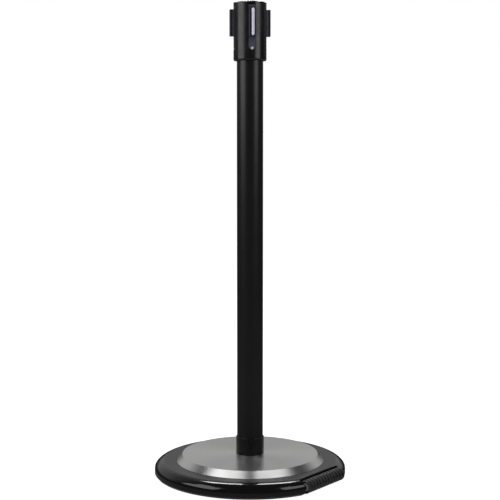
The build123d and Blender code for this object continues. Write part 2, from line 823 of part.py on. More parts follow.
with BuildPart() as spool_shaft:
    with BuildSketch(Plane.XY.offset(base_plate_z)):
        Circle(shaft_r)
    extrude(amount=liner_top - base_plate_z)
    with Locations(Plane.XY.offset(liner_top)):
        Hole(cap_screw_r, depth=cap_screw_in + small_screw_spare)
save(spool_shaft, "spool_shaft")

hub_in_r = shaft_r + run + bush_t
hub_out_r = hub_in_r + hub_wall
hub_low = base_plate_z + plate_t + hub_foot_gap
hub_high = top_plate_z - hub_end_gap
with BuildPart() as spool:
    with BuildSketch(Plane.XZ):
        with BuildLine():
            Polyline(
                (hub_in_r, hub_low),
                (hub_out_r, hub_low),
                (hub_out_r, spool_foot),
                (flange_r, spool_foot),
                (flange_r, spool_foot + flange_t),
                (spool_core_r, spool_foot + flange_t),
                (spool_core_r, spool_top - flange_t),
                (flange_r, spool_top - flange_t),
                (flange_r, spool_top),
                (hub_out_r, spool_top),
                (hub_out_r, hub_high),
                (hub_in_r, hub_high),
                close=True,
            )
        make_face()
    revolve(axis=Axis.Z)
save(spool, "spool")

with BuildPart() as spool_bushes:
    for foot in (hub_low, hub_high - spool_bush_l):
        with BuildSketch(Plane.XY.offset(foot)):
            Circle(hub_in_r - seat)
            Circle(shaft_r + run, mode=Mode.SUBTRACT)
        extrude(amount=spool_bush_l)
save(spool_bushes, "spool_bushes")

with BuildPart() as belt_roll:
    with BuildSketch(Plane.XY.offset(belt_z - belt_h / 2)):
        Circle(roll_r)
        Circle(spool_core_r + seat, mode=Mode.SUBTRACT)
    extrude(amount=belt_h)
save(belt_roll, "belt_roll")

cup_r = flange_r - cup_in
cup_top = spool_foot - cup_top_gap
cup_floor_z = base_plate_z + plate_t + cup_wall
with BuildPart() as spring_cup:
    with BuildSketch(Plane.XY.offset(base_plate_z + plate_t)):
        Circle(cup_r)
        Circle(shaft_r + cup_bore_gap, mode=Mode.SUBTRACT)
    extrude(amount=cup_top - base_plate_z - plate_t)
    with BuildSketch(Plane.XY.offset(cup_floor_z)):
        Circle(cup_r - cup_wall)
    extrude(amount=spring_h, mode=Mode.SUBTRACT)
save(spring_cup, "spring_cup")


def coil(start_r, turns, pitch):
    """Half-turn arcs about two centres a quarter pitch each side of the axis: a spiral with no kinks."""
    for half in range(2 * turns):
        centre = -(pitch / 4) * (-1) ** half
        radius = start_r + pitch / 4 + half * pitch / 2
        CenterArc((centre, 0), radius, 180 * half, 180)


spring_in_r = hub_out_r + spring_gap
spring_pitch = (cup_r - cup_wall - spring_gap - spring_t - spring_in_r) / spring_turns
with BuildPart() as power_spring:
    with BuildSketch(Plane.XY.offset(cup_floor_z + spring_foot_gap)):
        with BuildLine():
            coil(spring_in_r, spring_turns, spring_pitch)
            coil(spring_in_r + spring_t, spring_turns, spring_pitch)
            for end_r in (spring_in_r, spring_in_r + spring_turns * spring_pitch):
                Line((end_r, 0), (end_r + spring_t, 0))
        make_face()
    extrude(amount=cup_top - cup_floor_z - 2 * spring_foot_gap)
save(power_spring, "power_spring")

shoe_r = flange_r - shoe_in
with BuildPart() as brake_shoes:
    with BuildSketch(Plane.XY.offset(spool_top)):
        Circle(shoe_r)
        Circle(hub_out_r + gap, mode=Mode.SUBTRACT)
        Rectangle(4 * shoe_r, shoe_split * shoe_r, mode=Mode.SUBTRACT)
    extrude(amount=brake_h - shoe_top_gap)
save(brake_shoes, "brake_shoes")

with BuildPart() as brake_drum:
    with BuildSketch(Plane.XY.offset(spool_top + drum_foot_gap)):
        Circle(shoe_r + drum_gap + drum_wall)
        Circle(shoe_r + drum_gap, mode=Mode.SUBTRACT)
    extrude(amount=brake_h - drum_foot_gap)
save(brake_drum, "brake_drum")

# ---------------------------------------------------------------- belt

with BuildPart() as belt_mouth:
    with BuildSketch(Plane.XY.offset(belt_z - block_h / 2)):
        with Locations((0, (mouth_y - rib_face) / 2)):
            Rectangle(channel_w - 2 * fit, mouth_d)
    extrude(amount=block_h)
    fillet(belt_mouth.edges().filter_by(Axis.Z).group_by(Axis.Y)[0], mouth_round)
    with BuildSketch(Plane.XY.offset(belt_z - window_h / 2)):
        with Locations((0, mouth_y)):
            Rectangle(mouth_slot, 4 * mouth_d)
    extrude(amount=window_h, mode=Mode.SUBTRACT)
save(belt_mouth, "belt_mouth")

# the belt's middle line leaves the roll, bends round a guide pin and runs out to the belt end's pin
lead_r = roll_r + gap + belt_t / 2
lead_turn = atan2(guide_y, guide_x) + acos((lead_r + guide_x) / hypot(guide_x, guide_y))
lead_start = (lead_r * cos(lead_turn), lead_r * sin(lead_turn))
lead_corner = (0, guide_y + guide_x * tan(-lead_turn / 2))
loop_r = end_pin_r + fit
with BuildPart() as belt_web:
    with BuildSketch(Plane.XY.offset(belt_z - belt_h / 2)):
        with BuildLine():
            FilletPolyline(lead_start, lead_corner, (0, end_pin_y + loop_r + belt_t / 2), radius=guide_x)
        trace(line_width=belt_t)
        with Locations((0, end_pin_y)):
            Circle(loop_r + belt_t)
            Circle(loop_r, mode=Mode.SUBTRACT)
    extrude(amount=belt_h)
save(belt_web, "belt_web")

# ---------------------------------------------------------------- belt end


def tongue_root(spread):
    """Dovetail that holds the tongue in the belt end's front, wider at its root than at the surface."""
    front = end_front_y
    back = end_front_y + root_d + spread
    Polyline(
        (-stem_w / 2 - spread, front - spread),
        (-stem_w / 2 - root_flare - spread, back),
        (stem_w / 2 + root_flare + spread, back),
        (stem_w / 2 + spread, front - spread),
        close=True,
    )


with BuildPart() as belt_end_body:
    with BuildSketch(Plane.XY.offset(belt_z - block_h / 2)):
        with Locations((0, (end_back_y + end_front_y) / 2)):
            Rectangle(channel_w, belt_end_d)
    extrude(amount=block_h)
    fillet(belt_end_body.edges().filter_by(Axis.Z).group_by(Axis.Y)[0], belt_end_round)
    fillet(belt_end_body.edges().filter_by(Axis.X).group_by(Axis.Y)[0], belt_end_edge)
    with BuildSketch(Plane.XY.offset(belt_z - belt_h / 2 - end_cavity_margin)):
        with Locations((0, end_back_y)):
            Rectangle(mouth_slot, 2 * end_cavity_d)
    extrude(amount=belt_h + 2 * end_cavity_margin, mode=Mode.SUBTRACT)
    with BuildSketch(Plane.XY.offset(belt_z - end_pin_h / 2)):
        with Locations((0, end_pin_y)):
            Circle(end_pin_r + seat)
    extrude(amount=end_pin_h, mode=Mode.SUBTRACT)
    with BuildSketch(Plane.XY.offset(tongue_z - stem_h / 2)):
        with BuildLine():
            tongue_root(fit)
        make_face()
    extrude(amount=block_h, mode=Mode.SUBTRACT)
save(belt_end_body, "belt_end_body")

with BuildPart() as belt_end_pin:
    with BuildSketch(Plane.XY.offset(belt_z - end_pin_h / 2)):
        with Locations((0, end_pin_y)):
            Circle(end_pin_r)
    extrude(amount=end_pin_h)
save(belt_end_pin, "belt_end_pin")

with BuildPart() as belt_end_tongue:
    with BuildSketch(Plane.XY.offset(tongue_z - stem_h / 2)):
        with BuildLine():
            tongue_root(0)
        make_face()
        with Locations((0, (end_front_y + tongue_y) / 2)):
            Rectangle(stem_w, stem_l)
    extrude(amount=stem_h)
    with BuildSketch(Plane(origin=(0, tongue_y, tongue_z), x_dir=(1, 0, 0), z_dir=(0, -1, 0))):
        SlotOverall(tongue_h, tongue_w, rotation=90)
    extrude(amount=tongue_d)
    fillet(belt_end_tongue.edges().group_by(Axis.Y)[0], tongue_round)
save(belt_end_tongue, "belt_end_tongue")

# ---------------------------------------------------------------- top cap

with BuildPart() as top_cap:
    with BuildSketch(Plane.XY.offset(plug_z)):
        Circle(shell_r - fit)
    extrude(amount=plug_h)
    with BuildSketch(Plane.XY.offset(shell_top)):
        Circle(head_r)
        for turn in (notch_turn, -notch_turn):
            with PolarLocations(head_r, 4, start_angle=turn):
                Rectangle(2 * notch_in, notch_w, mode=Mode.SUBTRACT)
    extrude(amount=lobe_h)
    fillet(top_cap.edges().filter_by(GeomType.CIRCLE).group_by(Axis.Z)[-1], lobe_round)
    with BuildSketch(Plane.XY.offset(rim_z)):
        Circle(dome_r + fit)
    extrude(amount=-dome_seat, mode=Mode.SUBTRACT)
    with Locations(Plane.XY.offset(rim_z - dome_seat)):
        CounterBoreHole(cap_screw_r + cap_screw_gap, cap_screw_head_r + cap_screw_gap,
                        cap_screw_h + cap_screw_gap, depth=lobe_h + plug_h)
save(top_cap, "top_cap")

with BuildPart() as cap_dome:
    with BuildSketch(Plane.XZ):
        with BuildLine():
            crown = TangentArc((0, rim_z + dome_h), (dome_r, rim_z), tangent=(1, 0))
            Polyline(crown @ 1, (dome_r, rim_z - dome_seat), (0, rim_z - dome_seat), crown @ 0)
        make_face()
    revolve(axis=Axis.Z)
save(cap_dome, "cap_dome")

cap_screw_z = rim_z - dome_seat - cap_screw_h - cap_screw_gap
with BuildPart() as cap_screw:
    with BuildSketch(Plane.XY.offset(cap_screw_z)):
        Circle(cap_screw_head_r)
    extrude(amount=cap_screw_h)
    with BuildSketch(Plane.XY.offset(cap_screw_z)):
        Circle(cap_screw_r - fit)
    extrude(amount=-(plug_h + cap_screw_in))
save(cap_screw, "cap_screw")

print(f"belt on the spool {belt_length:.0f} mm, one radian of the spool per {mean_r:.2f} mm pulled")
print(f"head from {head_z:.1f} to {rim_z:.1f}, belt middle at {belt_z:.1f}, roller axis {roller_a:.1f} out")
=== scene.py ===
# %% [markdown]
# A retractable belt stanchion
#
# The object is a post on a weighted base. Its head holds a belt on a spring, and a ribbed
# roller is let into the edge of the base, so that the post can be tilted and wheeled away.
# The solid parts arrive ready, each at its real place and size, as the frame. This lesson
# gives them their finishes, adds the pieces whose surface a formula describes best, and
# lights them as for a catalogue.

import bmesh
import bpy
import json
import numpy as np
from math import atan2, acos, cos, hypot, pi, radians, sin, tau
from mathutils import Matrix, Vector


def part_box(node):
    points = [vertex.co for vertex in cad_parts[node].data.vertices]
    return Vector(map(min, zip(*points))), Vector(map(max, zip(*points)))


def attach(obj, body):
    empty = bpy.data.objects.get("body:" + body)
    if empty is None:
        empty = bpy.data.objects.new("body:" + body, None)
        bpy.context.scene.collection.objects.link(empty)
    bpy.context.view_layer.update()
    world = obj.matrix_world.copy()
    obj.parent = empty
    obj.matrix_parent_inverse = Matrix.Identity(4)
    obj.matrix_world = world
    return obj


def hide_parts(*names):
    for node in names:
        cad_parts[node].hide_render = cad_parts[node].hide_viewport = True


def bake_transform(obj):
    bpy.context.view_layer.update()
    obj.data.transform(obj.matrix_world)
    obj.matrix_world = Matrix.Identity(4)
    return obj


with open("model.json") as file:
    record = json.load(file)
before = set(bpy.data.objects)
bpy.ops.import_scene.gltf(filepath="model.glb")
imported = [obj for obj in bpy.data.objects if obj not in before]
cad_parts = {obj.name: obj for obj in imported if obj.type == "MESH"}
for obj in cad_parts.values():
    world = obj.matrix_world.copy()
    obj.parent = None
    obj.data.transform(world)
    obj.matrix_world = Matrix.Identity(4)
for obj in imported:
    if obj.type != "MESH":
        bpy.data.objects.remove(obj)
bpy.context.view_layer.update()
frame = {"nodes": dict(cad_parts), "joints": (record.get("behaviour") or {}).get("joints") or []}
nodes = frame["nodes"]
joints = {joint["name"]: joint for joint in frame["joints"]}
mm = 0.001

# %% [markdown]
# The camera
#
# It stands a little over two metres away at hip height and looks slightly down, so that the
# post is seen almost square on and the round base as a flat ellipse. A long lens keeps the
# post's sides parallel. Placing the camera by its turn round the post, its distance and its
# height keeps the numbers readable.

# %% Camera
camera_turn = radians(-7.4)  # round the post from the belt's side
camera_away = 2.1965
camera_height = 0.6176
camera_pitch = radians(4.614)
camera_data = bpy.data.cameras.new("camera")
camera_data.lens = 81.5
camera_data.clip_end = 100
camera = bpy.data.objects.new("camera", camera_data)
camera.location = (camera_away * sin(camera_turn), -camera_away * cos(camera_turn), camera_height)
camera.rotation_euler = (pi / 2 - camera_pitch, 0, camera_turn)
bpy.context.scene.collection.objects.link(camera)
bpy.context.scene.camera = camera
bpy.context.scene.view_settings.view_transform = "Standard"
print("camera at", [round(x, 3) for x in camera.location])

# %% [markdown]
# Writing shaders as formulas
#
# A shader is a small program drawn as nodes. Written one node at a time it is long and hard
# to read, so a socket is wrapped in a class whose operators add the Math nodes, and a formula
# for a sheen or a colour then reads as a formula. Every other node comes from one method,
# which takes the node's type, its settings and what goes into its sockets.

# %% Wires and node trees
class Wire:
    """The output socket of a node. Arithmetic on wires adds Math nodes."""

    def __init__(self, tree, socket):
        self.tree, self.socket = tree, socket

    def maths(self, operation, *values):
        return self.tree.node("Math", {"operation": operation}, dict(enumerate(values)))

    def __add__(self, other):
        return self.maths("ADD", self, other)

    def __sub__(self, other):
        return self.maths("SUBTRACT", self, other)

    def __mul__(self, other):
        return self.maths("MULTIPLY", self, other)

    def __truediv__(self, other):
        return self.maths("DIVIDE", self, other)

    def __pow__(self, other):
        return self.maths("POWER", self, other)

    __radd__ = __add__
    __rmul__ = __mul__


class Tree:
    """A tree of shader nodes, with one method that adds any node."""

    def __init__(self, nodes_and_links):
        self.nodes, self.links = nodes_and_links.nodes, nodes_and_links.links

    def node(self, kind, settings=(), inputs=(), output=0):
        made = self.nodes.new("ShaderNode" + kind)
        for name, value in dict(settings).items():
            if name == "stops":
                self.stops(made.color_ramp, value)
            else:
                setattr(made, name, value)
        for name, value in dict(inputs).items():
            self.feed(made.inputs[name], value)
        return Wire(self, made.outputs[output])

    def stops(self, ramp, stops):
        while len(ramp.elements) < len(stops):
            ramp.elements.new(1)
        for element, (place, colour) in zip(ramp.elements, stops):
            element.position, element.color = place, (*colour, 1)

    def feed(self, socket, value):
        if isinstance(value, Wire):
            self.links.new(value.socket, socket)
        else:
            socket.default_value = (*value, 1) if socket.type == "RGBA" else value

    def xyz(self, vector):
        """The three parts of a vector, as wires."""
        parts = self.node("SeparateXYZ", (), {0: vector})
        return [Wire(self, socket) for socket in parts.socket.node.outputs]

    def between(self, value, low, high, start=0.0, end=1.0):
        """A value's way from low to high, eased and held at both ends, as start to end."""
        settings = {"interpolation_type": "SMOOTHSTEP"}
        return self.node("MapRange", settings, {0: value, 1: low, 2: high, 3: start, 4: end})

    def blend(self, factor, first, second):
        """A colour between two others."""
        return self.node("Mix", {"data_type": "RGBA"}, {0: factor, 6: first, 7: second}, 2)


print("shader helpers ready")

# %% [markdown]
# The studio
#
# A dark, satin object shows mostly what it reflects. Two soft boxes stand to the front left
# and front right and give the post and the head their two upright streaks. A wide panel high
# behind the post draws the thin line along the edge of the base. The surroundings are white
# to the eye, but dim in reflections, as black cloth round a studio makes them. The world's
# light could be one plain grey, but then the black parts would look flat: here it changes
# with the height, and the side that the camera stands on is the darkest.

# %% Surroundings
world = bpy.data.worlds.new("studio")
world.use_nodes = True
bpy.context.scene.world = world
sky = Tree(world.node_tree)
north, up = sky.xyz(sky.node("TexCoord", (), (), "Generated"))[1:]
grey = {level: (level, level, level) for level in (0.02, 0.04, 0.10, 0.25, 0.30, 0.36, 0.45, 1.0)}
# each stop is a height, from 0 straight down to 1 straight up, and what is seen there
floor_glow = [(0.00, grey[0.25]), (0.30, grey[0.25]), (0.42, grey[0.02])]
height = up * 0.5 + 0.5
front_end, back_start = 0.15, 0.60
dark_side = sky.node("ValToRGB", {"stops": floor_glow}, {0: height})
wall = sky.node("ValToRGB", {"stops": floor_glow + [
    (0.54, grey[0.04]), (0.60, grey[0.45]), (0.76, grey[0.45]), (0.82, grey[0.30]), (1.00, grey[0.10]),
]}, {0: height})
room = sky.blend(sky.between(north, front_end, back_start), dark_side, wall)
rays = sky.node("LightPath").socket.node.outputs
to_floor = sky.blend(Wire(sky, rays["Is Diffuse Ray"]), room, grey[0.36])
to_eye = sky.blend(Wire(sky, rays["Is Camera Ray"]), to_floor, grey[1.0])
backdrop = sky.node("Background", (), {"Color": to_eye})
sky.feed(world.node_tree.nodes["World Output"].inputs["Surface"], backdrop)
print("surroundings ready")


# %% Lights
def soft_box(name, turn, away, height, size, power, aim=0.5):
    """A rectangular lamp, this far round from the camera, that faces the post at the height aim."""
    light = bpy.data.lights.new(name, "AREA")
    light.shape, light.size, light.size_y, light.energy = "RECTANGLE", *size, power
    lamp = bpy.data.objects.new(name, light)
    at = camera_turn + radians(turn)
    lamp.location = (away * sin(at), -away * cos(at), height)
    lamp.rotation_euler = (Vector((0, 0, aim)) - lamp.location).to_track_quat("-Z", "Y").to_euler()
    lamp.visible_camera = False
    bpy.context.scene.collection.objects.link(lamp)
    print(name, "at", [round(x, 2) for x in lamp.location])
    return lamp


left_box = soft_box("left_box", turn=-66, away=1.6, height=1.65, size=(1.5, 1.8), power=21, aim=1.2)
right_box = soft_box("right_box", turn=56, away=1.6, height=1.65, size=(1.0, 1.8), power=13.5, aim=1.2)
high_panel = soft_box("high_panel", turn=180, away=1.8, height=2.9, size=(2.0, 0.5), power=48)

# %% [markdown]
# Panels over the steel cover
#
# Spun steel draws every light out into a streak that runs from the axis to the rim. Two
# panels hang level above it, one on each side of the camera's line of sight. The gap between
# them gives the dark streak in front of the post, and their light on the bevel gives its two
# bright stretches. Light linking keeps them off everything else, and keeps the other boxes
# off the cover, so that the black parts and the steel can each be lit as they need.

# %% Cover's own light
cover_only, all_but_cover = (bpy.data.collections.new(name) for name in ("cover_only", "all_but_cover"))
cover_only.objects.link(nodes["steel_cover"])
all_but_cover.objects.link(nodes["steel_cover"])
all_but_cover.collection_objects[0].light_linking.link_state = "EXCLUDE"
for box in (left_box, right_box, high_panel):
    box.light_linking.receiver_collection = all_but_cover
panel_height, panel_depth = 2.4, 1.5
panel_power = 8.0  # watts for each metre of width
for name, turn, away, width in (("overhead_left", -80, 1.12, 1.80), ("overhead_right", 78, 0.98, 1.50)):
    panel = soft_box(name, turn, away, panel_height, (panel_depth, width), panel_power * width)
    panel.rotation_euler = (0, 0, camera_turn + pi / 2)
    panel.light_linking.receiver_collection = cover_only

# %% [markdown]
# The floor
#
# The post stands on plain pale floor, which runs out to the white surroundings with no
# horizon. It glows a little, so that only a faint shadow is left round the base, and it
# doesn't show in the glossy edge of the base, which has to stay black.

# %% Floor
floor_mesh = bpy.data.meshes.new("floor")
floor_half = 12.0
floor_grey, floor_glows = 0.30, 0.93
corners = [(-floor_half, -floor_half, 0), (floor_half, -floor_half, 0),
           (floor_half, floor_half, 0), (-floor_half, floor_half, 0)]
floor_mesh.from_pydata(corners, [], [(0, 1, 2, 3)])
floor_object = bpy.data.objects.new("floor", floor_mesh)
bpy.context.scene.collection.objects.link(floor_object)
floor_paint = bpy.data.materials.new("pale_floor")
floor_paint.use_nodes = True
floor_shader = floor_paint.node_tree.nodes["Principled BSDF"]
floor_shader.inputs["Base Color"].default_value = (floor_grey, floor_grey, floor_grey, 1)
floor_shader.inputs["Roughness"].default_value = 0.9
floor_shader.inputs["Specular IOR Level"].default_value = 0.0
floor_shader.inputs["Emission Color"].default_value = (1, 1, 1, 1)
floor_shader.inputs["Emission Strength"].default_value = floor_glows
floor_mesh.materials.append(floor_paint)
floor_object.visible_glossy = False
print("floor", 2 * floor_half, "m wide")


# %% [markdown]
# Finishes
#
# Each finish starts from Blender's principled shader. What is the same all over the surface
# is set on the shader itself. What varies, such as grain, patches of sheen and wear, is
# worked out from the piece's own coordinates in metres, so a pattern has its real size
# wherever it lies.

# %% The start of every finish
class Finish(Tree):
    """A material that is being mixed: its shader's fixed values and what is wired into it."""

    def __init__(self, name, roughness=0.5, metallic=0.0, **fixed):
        self.material = bpy.data.materials.new(name)
        self.material.use_nodes = True
        super().__init__(self.material.node_tree)
        self.shader = self.nodes["Principled BSDF"]
        self.set(Roughness=roughness, Metallic=metallic, **fixed)
        self.place = self.node("TexCoord", (), (), "Object")

    def set(self, **values):
        for name, value in values.items():
            self.feed(self.shader.inputs[name.replace("_", " ")], value)

    def noise(self, size, detail=2.0, at=None, roughness=0.5):
        """Cloudy noise from 0 to 1, with lumps about this many metres across."""
        inputs = {"Vector": at or self.place, "Scale": 1 / size, "Detail": detail}
        return self.node("TexNoise", (), {**inputs, "Roughness": roughness})

    def stretched(self, x, y, z):
        """The piece's coordinates, each multiplied."""
        settings = {"operation": "MULTIPLY"}
        return self.node("VectorMath", settings, {0: self.place, 1: (x, y, z)})

    def relief(self, height, depth):
        """Bumps this many metres deep where height goes from 0 to 1."""
        inputs = {"Height": height, "Distance": depth, "Strength": 1.0}
        self.set(Normal=self.node("Bump", (), inputs))


def moulded(name, colour, grain, depth, roughness, spread=0.06, **fixed):
    """Moulded plastic: a spark-eroded grain, patches that shine a little more, and a faint
    bloom in the colour."""
    finish = Finish(name, **fixed)
    patch = finish.noise(0.025, 3.0)
    sheen = finish.between(patch, 0.3, 0.7, roughness - spread, roughness + spread)
    pale = tuple(1.5 * c + 0.001 for c in colour)
    finish.set(Base_Color=finish.blend(patch, colour, pale), Roughness=sheen)
    finish.relief(finish.noise(grain, 2.0), depth)
    return finish


FINISHES = {}
print("finish helpers ready")

# %% [markdown]
# Black plastics
#
# The head, the collar and the receivers are moulded plastic. The same recipe serves them all
# with another grain. The liners of the channels and the belt end have a blue cast.

# %% Plastics of the head
FINISHES["head_black"] = moulded("head_black", (0.0035, 0.0035, 0.0035), 0.0006, 0.00001, 0.28)
FINISHES["collar_black"] = moulded("collar_black", (0.0035, 0.0035, 0.0035), 0.0008, 0.00002, 0.30)
FINISHES["receiver_black"] = moulded("receiver_black", (0.006, 0.006, 0.009), 0.0006, 0.00001, 0.38)
FINISHES["liner_grey"] = moulded("liner_grey", (0.028, 0.031, 0.048), 0.0007, 0.00002, 0.42)
FINISHES["belt_end_plastic"] = moulded("belt_end_plastic", (0.010, 0.010, 0.024), 0.0006, 0.00001, 0.36)
FINISHES["grey_plastic"] = moulded("grey_plastic", (0.16, 0.16, 0.17), 0.0008, 0.00002, 0.45)
FINISHES["bearing_plastic"] = moulded("bearing_plastic", (0.014, 0.014, 0.015), 0.0010, 0.00001, 0.40)
print("head plastics ready")


# %% [markdown]
# The ring of the base
#
# Its flat top is satin and its rolled side is polished, as feet wear it. The height and the
# distance from the axis tell the two apart. Scuffs lie along the rolled side, as shoes and
# brooms leave them, and a faint dust sits on the flat.

# %% Ring plastic
def ring_plastic():
    """Satin where the surface is near its top, glossy below, with scuffs along the side."""
    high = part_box("base_ring")[1]
    top, outer = high[2], high[0]
    satin_in, gloss_in = 21.5 * mm, 15.0 * mm  # in from the outside, where one turns into the other
    finish = Finish("ring_plastic")
    x, y, z = finish.xyz(finish.place)
    out = (x * x + y * y) ** 0.5
    flat = finish.between(out, outer - satin_in, outer - gloss_in, 1.0, 0.0)
    streaks = finish.noise(0.004, 4.0, at=finish.stretched(0.35, 0.35, 3.0))
    scuff = finish.between(streaks, 0.60, 0.78) * finish.between(z, 0.30 * top, 0.75 * top, 1.0, 0.0)
    gloss = flat * 0.24 + 0.085 + scuff * 0.16 + finish.noise(0.03) * 0.05
    dust = finish.noise(0.006, 5.0) * flat
    black = finish.blend(dust * 0.5 + scuff * 0.4, (0.0045, 0.0045, 0.0048), (0.030, 0.030, 0.030))
    finish.set(Base_Color=black, Roughness=gloss)
    finish.relief(finish.noise(0.0005, 2.0) * flat, 0.000006)
    return finish


FINISHES["ring_plastic"] = ring_plastic()
print("ring finish ready")


# %% [markdown]
# Powder coat on the post
#
# The tube is steel with a baked satin powder coat, whose surface has the fine waves of an
# orange's skin. It is a little duller low down, where it is cleaned and kicked the most.

# %% Powder coat
def powder_coat():
    """Two sizes of shallow waves, and a roughness that rises towards the foot of the tube."""
    low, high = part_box("post_tube")
    finish = Finish("post_black")
    z = finish.xyz(finish.place)[2]
    foot = finish.between(z, low[2], low[2] + 0.45 * (high[2] - low[2]), 1.0, 0.0)
    patch = finish.noise(0.03, 3.0, at=finish.stretched(1.0, 1.0, 0.35))
    finish.set(Roughness=foot * 0.10 + patch * 0.10 + 0.27)
    marks = finish.between(finish.noise(0.004, 5.0), 0.62, 0.75) * foot
    colour = finish.blend(marks * 0.5, (0.0045, 0.0045, 0.0047), (0.022, 0.021, 0.020))
    finish.set(Base_Color=colour)
    waves = finish.noise(0.0022, 1.0) * 0.7 + finish.noise(0.0008, 1.0) * 0.3
    finish.relief(waves, 0.00003)
    return finish


FINISHES["post_black"] = powder_coat()
print("powder coat ready")


# %% [markdown]
# Brushed steel
#
# The cover of the base is spun and brushed on a turntable, so its scratches are circles
# about the post. Two things show that: fine rings in the roughness and the relief, and
# highlights that are drawn out across the rings, which the shader's anisotropy gives. The
# rings come from noise that changes fast with the distance from the axis and slowly round
# it. The direction round the axis enters as a cosine and a sine, so there is no seam.

# %% Circular brushing
def brushed_cover():
    """Noise on (distance times many, cosine, sine): thin rings, each broken up on its way round."""
    finish = Finish("stainless_cover", metallic=1.0, Anisotropic=0.75, Anisotropic_Rotation=0.25)
    x, y = finish.xyz(finish.place)[:2]
    out = (x * x + y * y) ** 0.5

    def rings(ring_width, arcs):
        """Noise in rings this many metres wide, each broken up into some arcs."""
        at = {0: out * (1 / ring_width), 1: x / out * arcs, 2: y / out * arcs}
        return finish.noise(1.0, 2.0, at=finish.node("CombineXYZ", (), at))

    fine, wide = rings(0.25 * mm, 5), rings(2.0 * mm, 2)
    smudge = finish.between(finish.noise(0.05, 4.0), 0.45, 0.75)
    finish.set(Roughness=fine * 0.14 + wide * 0.06 + smudge * 0.06 + 0.20)
    steel = finish.blend(fine, (0.66, 0.655, 0.65), (0.86, 0.855, 0.85))
    finish.set(Base_Color=steel)
    finish.relief(fine * 0.7 + wide * 0.3, 0.000012)
    return finish


FINISHES["stainless_cover"] = brushed_cover()
print("brushed steel ready")


# %% [markdown]
# Plain metals
#
# Screws, plates and the axle are zinc plated or ground steel, and the adapter in the head is
# die cast. They share one recipe: a fine grain in the roughness and a faint mottle in the
# colour. The tongue on the belt end is anodised and satin.

# %% Metals
def metal(name, colour, grain, depth, roughness, spread=0.05, metallic=1.0, **fixed):
    """Metal with a grain of this size and patches that are duller than others."""
    finish = Finish(name, metallic=metallic, **fixed)
    patch, fine = finish.noise(0.012, 4.0), finish.noise(grain, 3.0)
    dull = tuple(0.82 * c for c in colour)
    finish.set(Base_Color=finish.blend(patch, dull, colour))
    finish.set(Roughness=patch * spread + fine * spread + roughness - spread)
    finish.relief(fine, depth)
    return finish


FINISHES["zinc_steel"] = metal("zinc_steel", (0.74, 0.76, 0.78), 0.0008, 0.000006, 0.34, metallic=0.6)
FINISHES["bright_steel"] = metal("bright_steel", (0.66, 0.66, 0.67), 0.0004, 0.000003, 0.22)
FINISHES["cast_aluminium"] = metal("cast_aluminium", (0.50, 0.50, 0.51), 0.0009, 0.00005, 0.48)
FINISHES["tongue_aluminium"] = metal(
    "tongue_aluminium", (0.80, 0.78, 0.90), 0.0003, 0.000004, 0.34, metallic=0.4
)
FINISHES["spring_steel"] = metal("spring_steel", (0.24, 0.27, 0.36), 0.0005, 0.000003, 0.28)
FINISHES["dome_silver"] = metal("dome_silver", (0.42, 0.42, 0.49), 0.0003, 0.000004, 0.34, metallic=0.3)
print("metals ready")


# %% [markdown]
# Rubber, iron and lining
#
# The roller's tread and the ring under the base are rubber: nearly black, dull, and greyed by
# dust, which stays in the grooves. The weight is cast iron with the pimpled skin of its sand
# mould under a coat of paint. The brake's lining is pressed fibre.

# %% Rubber and iron
def rubber(name, colour, dust_colour):
    """Dull black, with fine pits and dust in soft patches."""
    finish = Finish(name)
    pits, patch = finish.noise(0.0005, 3.0), finish.noise(0.008, 4.0)
    dust = finish.between(patch, 0.35, 0.75)
    finish.set(Base_Color=finish.blend(dust * 0.55, colour, dust_colour))
    finish.set(Roughness=dust * 0.14 + 0.42)
    finish.relief(pits, 0.00003)
    return finish


def rough_cast(name, colour, lump, depth):
    """Two sizes of lumps, with the paint thinner and paler on top of them."""
    finish = Finish(name)
    lumps = finish.noise(lump, 4.0) * 0.6 + finish.noise(lump / 4, 2.0) * 0.4
    pale = tuple(1.8 * c for c in colour)
    finish.set(Base_Color=finish.blend(finish.between(lumps, 0.45, 0.65), colour, pale))
    finish.set(Roughness=lumps * 0.2 + 0.5)
    finish.relief(lumps, depth)
    return finish


FINISHES["roller_rubber"] = rubber("roller_rubber", (0.009, 0.009, 0.009), (0.026, 0.025, 0.024))
FINISHES["floor_rubber"] = rubber("floor_rubber", (0.014, 0.014, 0.014), (0.045, 0.043, 0.040))
FINISHES["cast_iron"] = rough_cast("cast_iron", (0.05, 0.05, 0.055), 0.003, 0.0003)
FINISHES["brake_lining"] = rough_cast("brake_lining", (0.10, 0.08, 0.06), 0.0012, 0.0001)
print("rubber and iron ready")


# %% [markdown]
# Webbing
#
# The belt is woven polyester. Its warp yarns run along it and its weft across it, and each
# crossing shows as a small pillow, so the weave is a chequer of soft bumps. It reads the
# coordinates in metres, so the yarns keep their size however far the belt is pulled out.

# %% Woven belt
def webbing():
    """Plain weave: the product of a sine along the belt and a sine across it, each yarn's pitch
    named, is high where the warp is on top and low where the weft is."""
    warp_pitch, weft_pitch = 0.00055, 0.00095
    finish = Finish("belt_webbing", Sheen_Weight=0.25, Sheen_Roughness=0.4)
    x, y, z = finish.xyz(finish.place)
    across = (z * (pi / warp_pitch)).maths("SINE", z * (pi / warp_pitch))
    along = (y * (pi / weft_pitch)).maths("SINE", y * (pi / weft_pitch))
    crossing = across * along * 0.5 + 0.5
    fluff = finish.noise(0.0006, 4.0)
    finish.set(Base_Color=finish.blend(crossing, (0.006, 0.006, 0.009), (0.018, 0.018, 0.026)))
    finish.set(Roughness=fluff * 0.15 + 0.62)
    finish.relief(crossing * 0.8 + fluff * 0.2, 0.00012)
    return finish


FINISHES["belt_webbing"] = webbing()
print("webbing ready")

